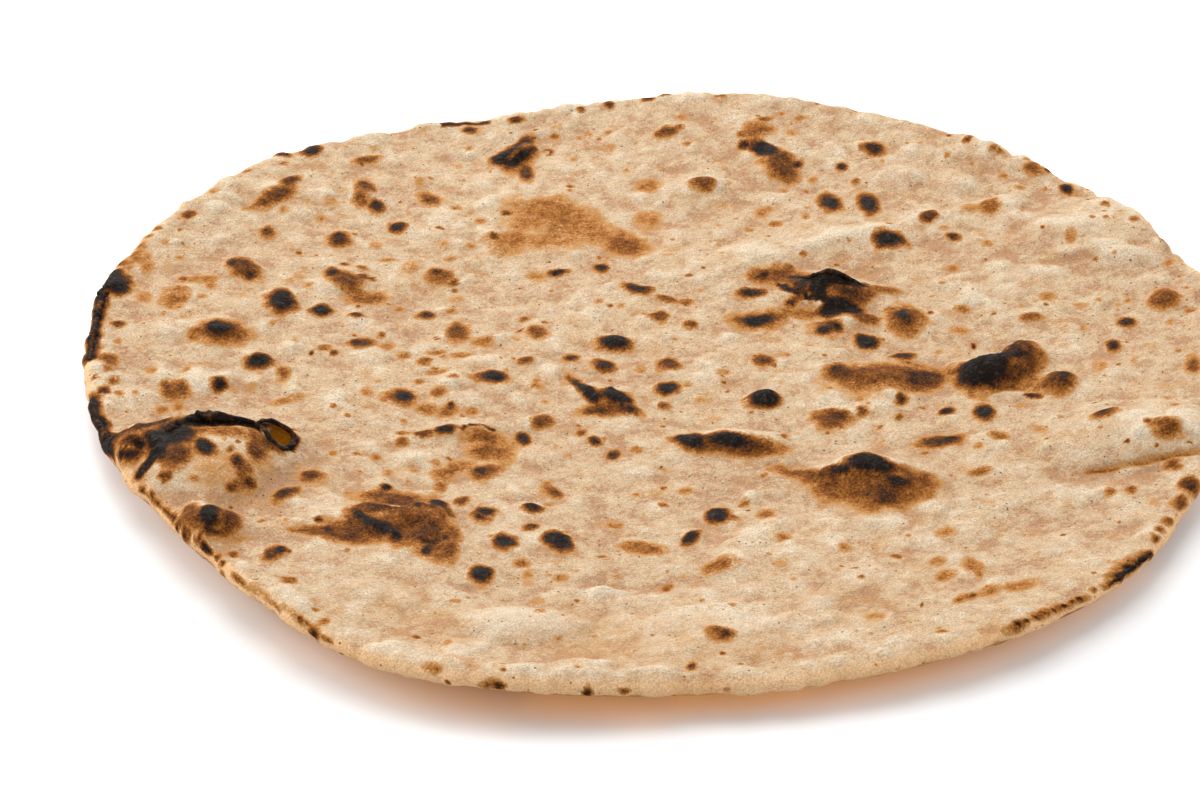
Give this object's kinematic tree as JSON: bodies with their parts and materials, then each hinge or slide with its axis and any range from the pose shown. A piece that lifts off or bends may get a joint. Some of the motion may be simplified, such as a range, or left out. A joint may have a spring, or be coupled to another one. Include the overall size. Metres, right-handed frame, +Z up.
{
  "type": "tandoori roti",
  "caption": "Round thin flatbread with a raised wavy rim, charred blisters and a burst bubble, lying flat on its middle.",
  "frame": {"origin": "middle of the bread's box at floor height, under the flat middle of the underside", "axes": "+Z up, through the sheet; +X towards the side with the large pale bubble, -X towards the burst bubble; +Y towards the far rim"},
  "size_m": [0.2412, 0.2384, 0.0153],
  "materials": {
    "crust": "dry matte wheat crust, cream with brown and black charred spots"
  },
  "bodies": {
    "root": {"roti": "crust"}
  },
  "joints": []
}
